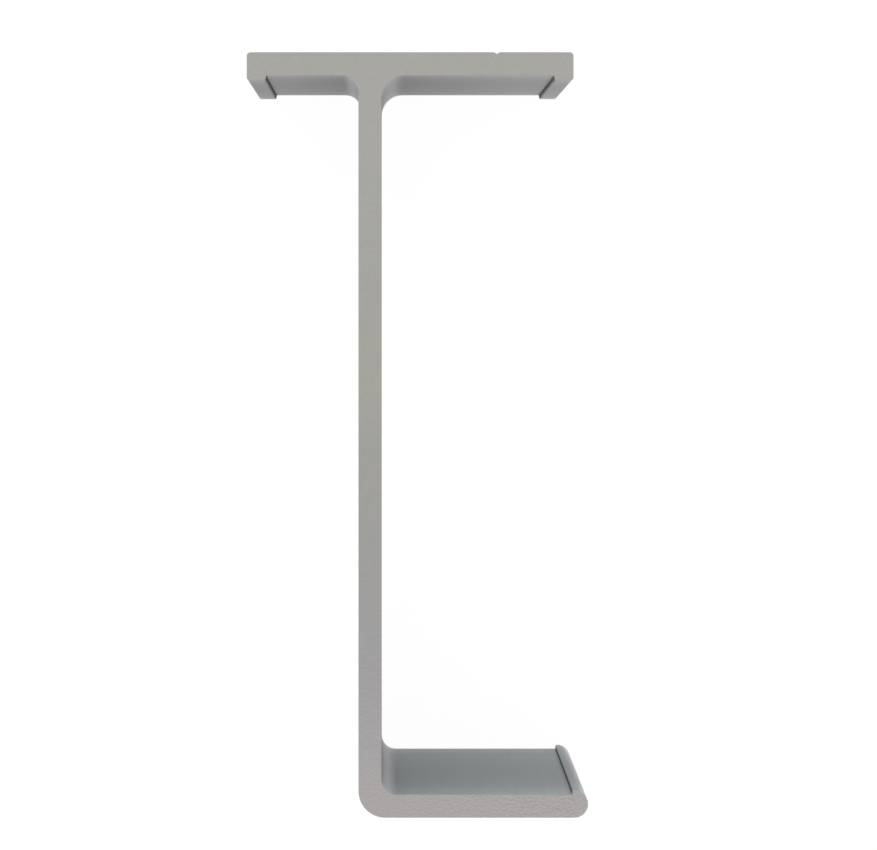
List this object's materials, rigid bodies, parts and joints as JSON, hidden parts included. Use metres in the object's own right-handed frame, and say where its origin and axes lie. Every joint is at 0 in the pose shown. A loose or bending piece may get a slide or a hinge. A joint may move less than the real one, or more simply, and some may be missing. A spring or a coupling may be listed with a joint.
{
  "type": "metal t-section",
  "caption": "Short slice of extruded aluminium T-section: uneven flange with small lips and a V guide groove, a long web, and a foot that ends in a round bulb.",
  "frame": {"origin": "middle of the bounding box's bottom, on the back cut face that the slice lies on", "axes": "+Y up the web to the flange, +X along the foot to its bulb, +Z along the extrusion to the front cut face, which the picture looks straight at"},
  "size_m": [0.0446, 0.1, 0.025],
  "materials": {
    "mill_aluminium": "mill finish, matt sawn ends"
  },
  "bodies": {
    "root": {"t_section": "mill_aluminium"}
  },
  "joints": []
}
